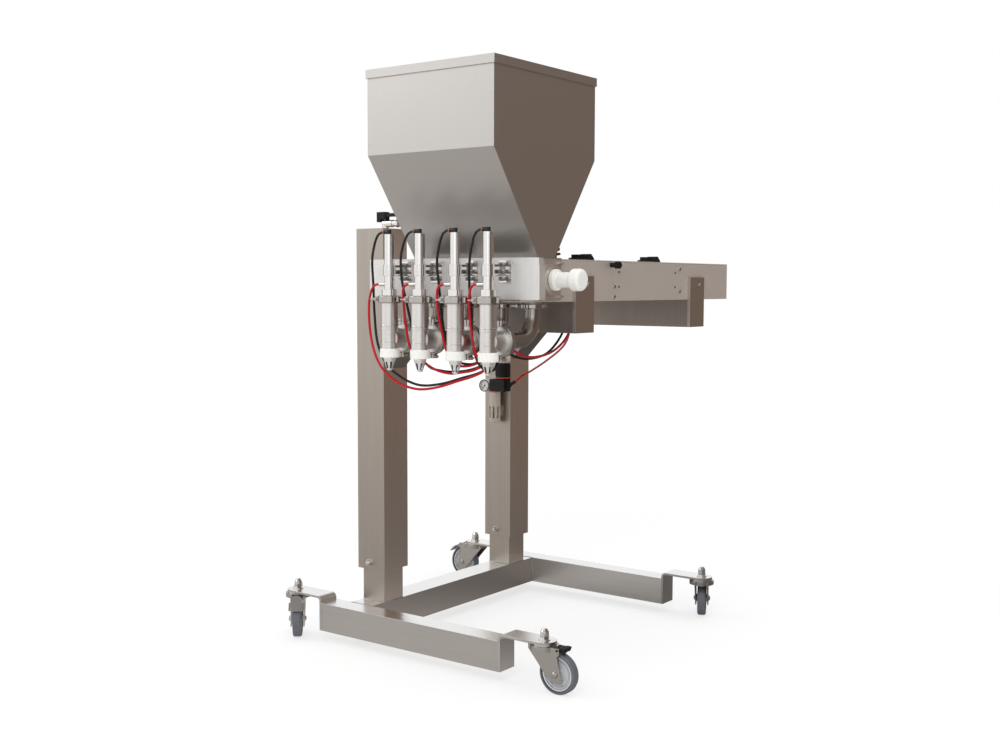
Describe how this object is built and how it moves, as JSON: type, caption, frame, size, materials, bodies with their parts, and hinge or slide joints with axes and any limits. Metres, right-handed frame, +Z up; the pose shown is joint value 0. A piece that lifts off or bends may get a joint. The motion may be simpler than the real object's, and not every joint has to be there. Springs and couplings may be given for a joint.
{
  "type": "multi-piston filling machine",
  "caption": "Wheeled filling machine with a stainless hopper over four air-shuttered nozzles and a long drive housing on two height-adjustable columns.",
  "frame": {"origin": "on the floor under the middle of the machine's outline", "axes": "+Z up, +X along the nozzle row towards the white valve knob, +Y from the nozzles to the back of the drive housing"},
  "size_m": [1.0542, 1.143, 1.467],
  "materials": {
    "brushed_leg": "satin brushed stainless steel tube",
    "bead_blast": "fine bead-blasted stainless steel sheet",
    "dark_steel": "satin stainless steel tube seen dark",
    "zinc": "bright zinc-plated steel",
    "polished": "polished stainless steel",
    "machined": "machined plate with fine vertical grain",
    "white_plastic": "white machined plastic",
    "black_plastic": "black moulded plastic",
    "grey_plastic": "light grey moulded plastic",
    "bowl_plastic": "beige translucent guard",
    "tyre": "dark grey rubber tyre",
    "fitting": "nickel body with an orange release ring",
    "motor_grey": "dark grey anodised housing",
    "red_hose": "red polyurethane tube",
    "black_hose": "black polyurethane tube",
    "dial": "white dial in a steel case"
  },
  "bodies": {
    "base": {"near_leg": "brushed_leg", "far_leg": "brushed_leg", "crossbar": "brushed_leg", "column_tubes": "brushed_leg", "caster_brackets": "brushed_leg", "caster_stems": "polished"},
    "head": {"column_sleeves": "brushed_leg", "sleeve_glides": "white_plastic", "support_arms": "dark_steel", "housing_tray": "bead_blast", "housing_screws": "polished", "valve_body": "machined", "valve_flange": "polished", "valve_actuator": "motor_grey", "product_cylinders": "polished", "drive_cylinder": "machined", "rail_plate": "machined", "rail_hardware": "polished", "nozzle_bodies": "bead_blast", "nozzle_collars": "white_plastic", "star_tips": "polished", "air_cylinders": "polished", "elbows": "polished", "pipe_clamps": "polished", "tube_fittings": "fitting", "tube_manifold": "black_plastic", "regulator_body": "black_plastic", "filter_bowl": "bowl_plastic", "pressure_gauge": "dial", "shutoff_valve": "polished", "red_tubes": "red_hose", "black_tubes": "black_hose"},
    "near_left_caster": {"near_left_fork": "zinc"},
    "near_left_tyre": {"near_left_wheel": "tyre"},
    "near_left_pedal": {"near_left_brake": "zinc"},
    "near_right_caster": {"near_right_fork": "zinc"},
    "near_right_tyre": {"near_right_wheel": "tyre"},
    "near_right_pedal": {"near_right_brake": "zinc"},
    "far_left_caster": {"far_left_fork": "zinc"},
    "far_left_tyre": {"far_left_wheel": "tyre"},
    "far_left_pedal": {"far_left_brake": "zinc"},
    "far_right_caster": {"far_right_fork": "zinc"},
    "far_right_tyre": {"far_right_wheel": "tyre"},
    "far_right_pedal": {"far_right_brake": "zinc"},
    "lid": {"housing_lid": "bead_blast"},
    "near_latch": {"near_lid_latch": "black_plastic"},
    "far_latch": {"far_lid_latch": "black_plastic"},
    "index_pin": {"index_plunger": "black_plastic"},
    "spool": {"valve_spool": "white_plastic"},
    "piston_group": {"pistons": "white_plastic", "crosshead": "machined"},
    "hopper_unit": {"hopper": "bead_blast"},
    "hopper_lever": {"hopper_latch": "black_plastic"},
    "shutter_1": {"plunger_1": "polished"},
    "shutter_2": {"plunger_2": "polished"},
    "shutter_3": {"plunger_3": "polished"},
    "shutter_4": {"plunger_4": "polished"},
    "pressure_knob": {"regulator_knob": "black_plastic"},
    "needle": {"gauge_needle": "black_plastic"},
    "shutoff_handle": {"shutoff_lever": "black_plastic"}
  },
  "joints": [
    {"name": "head_height", "type": "slide", "parent": "base", "child": "head", "axis": [0, 0, 1], "range_m": [-0.08, 0.22]},
    {"name": "near_left_swivel", "type": "hinge", "parent": "base", "child": "near_left_caster", "pos_m": [-0.43215, -0.32915, 0.1], "axis": [0, 0, 1], "continuous": true},
    {"name": "near_left_roll", "type": "hinge", "parent": "near_left_caster", "child": "near_left_tyre", "pos_m": [-0.40405, -0.36036, 0.05], "axis": [0.7431, 0.6691, 0], "continuous": true},
    {"name": "near_left_brake", "type": "hinge", "parent": "near_left_caster", "child": "near_left_pedal", "pos_m": [-0.40003, -0.36482, 0.1092], "axis": [0.7431, 0.6691, 0], "range_deg": [0, 5.5]},
    {"name": "near_right_swivel", "type": "hinge", "parent": "base", "child": "near_right_caster", "pos_m": [0.40185, -0.32915, 0.1], "axis": [0, 0, 1], "continuous": true},
    {"name": "near_right_roll", "type": "hinge", "parent": "near_right_caster", "child": "near_right_tyre", "pos_m": [0.44385, -0.32915, 0.05], "axis": [0, 1, 0], "continuous": true},
    {"name": "near_right_brake", "type": "hinge", "parent": "near_right_caster", "child": "near_right_pedal", "pos_m": [0.44985, -0.32915, 0.1092], "axis": [0, 1, 0], "range_deg": [0, 5.5]},
    {"name": "far_left_swivel", "type": "hinge", "parent": "base", "child": "far_left_caster", "pos_m": [-0.43215, 0.47885, 0.1], "axis": [0, 0, 1], "continuous": true},
    {"name": "far_left_roll", "type": "hinge", "parent": "far_left_caster", "child": "far_left_tyre", "pos_m": [-0.47415, 0.47885, 0.05], "axis": [0, -1, 0], "continuous": true},
    {"name": "far_left_brake", "type": "hinge", "parent": "far_left_caster", "child": "far_left_pedal", "pos_m": [-0.48015, 0.47885, 0.1092], "axis": [0, -1, 0], "range_deg": [0, 5.5]},
    {"name": "far_right_swivel", "type": "hinge", "parent": "base", "child": "far_right_caster", "pos_m": [0.40185, 0.47885, 0.1], "axis": [0, 0, 1], "continuous": true},
    {"name": "far_right_roll", "type": "hinge", "parent": "far_right_caster", "child": "far_right_tyre", "pos_m": [0.3841, 0.51692, 0.05], "axis": [-0.9063, -0.4226, 0], "continuous": true},
    {"name": "far_right_brake", "type": "hinge", "parent": "far_right_caster", "child": "far_right_pedal", "pos_m": [0.38156, 0.52236, 0.1092], "axis": [-0.9063, -0.4226, 0], "range_deg": [0, 5.5]},
    {"name": "lid_lift", "type": "slide", "parent": "head", "child": "lid", "axis": [0, 0, 1], "range_m": [0, 0.012]},
    {"name": "near_latch_slide", "type": "slide", "parent": "lid", "child": "near_latch", "axis": [0, 1, 0], "range_m": [0, 0.012]},
    {"name": "far_latch_slide", "type": "slide", "parent": "lid", "child": "far_latch", "axis": [0, 1, 0], "range_m": [0, 0.012]},
    {"name": "index_pin_pull", "type": "slide", "parent": "head", "child": "index_pin", "axis": [1, 0, 0], "range_m": [0, 0.006], "stiffness_N_per_m": 900},
    {"name": "valve_turn", "type": "hinge", "parent": "head", "child": "spool", "pos_m": [0.24285, -0.36555, 0.982], "axis": [-1, 0, 0], "range_deg": [0, 90]},
    {"name": "piston_stroke", "type": "slide", "parent": "head", "child": "piston_group", "axis": [0, 1, 0], "range_m": [0, 0.15]},
    {"name": "hopper_lift", "type": "slide", "parent": "head", "child": "hopper_unit", "axis": [0, 0, 1], "range_m": [0, 0.3]},
    {"name": "hopper_lever_turn", "type": "hinge", "parent": "hopper_unit", "child": "hopper_lever", "pos_m": [0.41085, -0.31055, 1.04], "axis": [0, 0, -1], "range_deg": [0, 30]},
    {"name": "shutter_lift_1", "type": "slide", "parent": "head", "child": "shutter_1", "axis": [0, 0, 1], "range_m": [0, 0.02]},
    {"name": "shutter_lift_2", "type": "slide", "parent": "head", "child": "shutter_2", "axis": [0, 0, 1], "range_m": [0, 0.02]},
    {"name": "shutter_lift_3", "type": "slide", "parent": "head", "child": "shutter_3", "axis": [0, 0, 1], "range_m": [0, 0.02]},
    {"name": "shutter_lift_4", "type": "slide", "parent": "head", "child": "shutter_4", "axis": [0, 0, 1], "range_m": [0, 0.02]},
    {"name": "pressure_set", "type": "hinge", "parent": "head", "child": "pressure_knob", "pos_m": [-0.18415, 0.29185, 0.71], "axis": [0, 0, 1], "range_deg": [-180, 180]},
    {"name": "needle_turn", "type": "hinge", "parent": "head", "child": "needle", "pos_m": [-0.24515, 0.27985, 0.662], "axis": [0, 1, 0], "range_deg": [0, 270]},
    {"name": "shutoff_turn", "type": "hinge", "parent": "head", "child": "shutoff_handle", "pos_m": [-0.20515, -0.21315, 1.145], "axis": [0, 0, 1], "range_deg": [0, 90]}
  ],
  "couplings": [
    {"joint": "shutter_lift_2", "follows": "shutter_lift_1", "ratio": 1},
    {"joint": "shutter_lift_3", "follows": "shutter_lift_1", "ratio": 1},
    {"joint": "shutter_lift_4", "follows": "shutter_lift_1", "ratio": 1}
  ]
}
